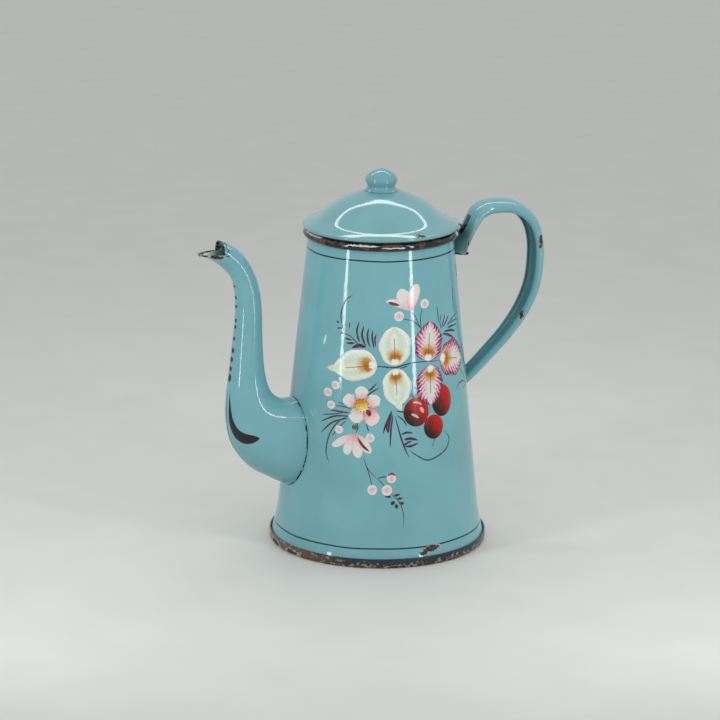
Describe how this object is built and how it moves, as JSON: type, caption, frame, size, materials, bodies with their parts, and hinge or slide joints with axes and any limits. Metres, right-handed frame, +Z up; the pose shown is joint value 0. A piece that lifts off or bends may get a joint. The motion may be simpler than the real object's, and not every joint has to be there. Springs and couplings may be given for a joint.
{
  "type": "coffee pot",
  "caption": "Tall tapered enamelled coffee pot with a swan-neck spout, a channel-section loop handle, and a domed lid with a button knob hinged in the handle's upper root.",
  "frame": {"origin": "centre of the flat bottom, on the surface that the pot stands on", "axes": "+Z up, the pot's longest way; +X towards the handle, with the spout along -X; +Y across the pot, square to the plane through the spout and the handle"},
  "size_m": [0.2377, 0.1438, 0.2496],
  "materials": {
    "blue_enamel": "glossy vitreous enamel on sheet steel",
    "lid_enamel": "glossy vitreous enamel on sheet steel",
    "dark_enamel": "glossy blue-black enamel, chipped and rusted at the edge",
    "steel_wire": "drawn wire, bare",
    "worn_steel": "darkened steel, lightly rusted"
  },
  "bodies": {
    "pot": {"body_shell": "blue_enamel", "rim_wire": "steel_wire", "base_pan": "dark_enamel", "spout": "blue_enamel", "handle": "blue_enamel", "hinge_bracket": "worn_steel", "hinge_pin": "worn_steel"},
    "lid": {"lid_dome": "lid_enamel", "lid_collar": "lid_enamel", "lid_tongue": "worn_steel", "lid_knob": "lid_enamel", "knob_rivet": "worn_steel"}
  },
  "joints": [
    {"name": "lid_hinge", "type": "hinge", "parent": "pot", "child": "lid", "pos_m": [0.05988, 0, 0.20416], "axis": [0, 1, 0], "range_deg": [0, 50]}
  ]
}
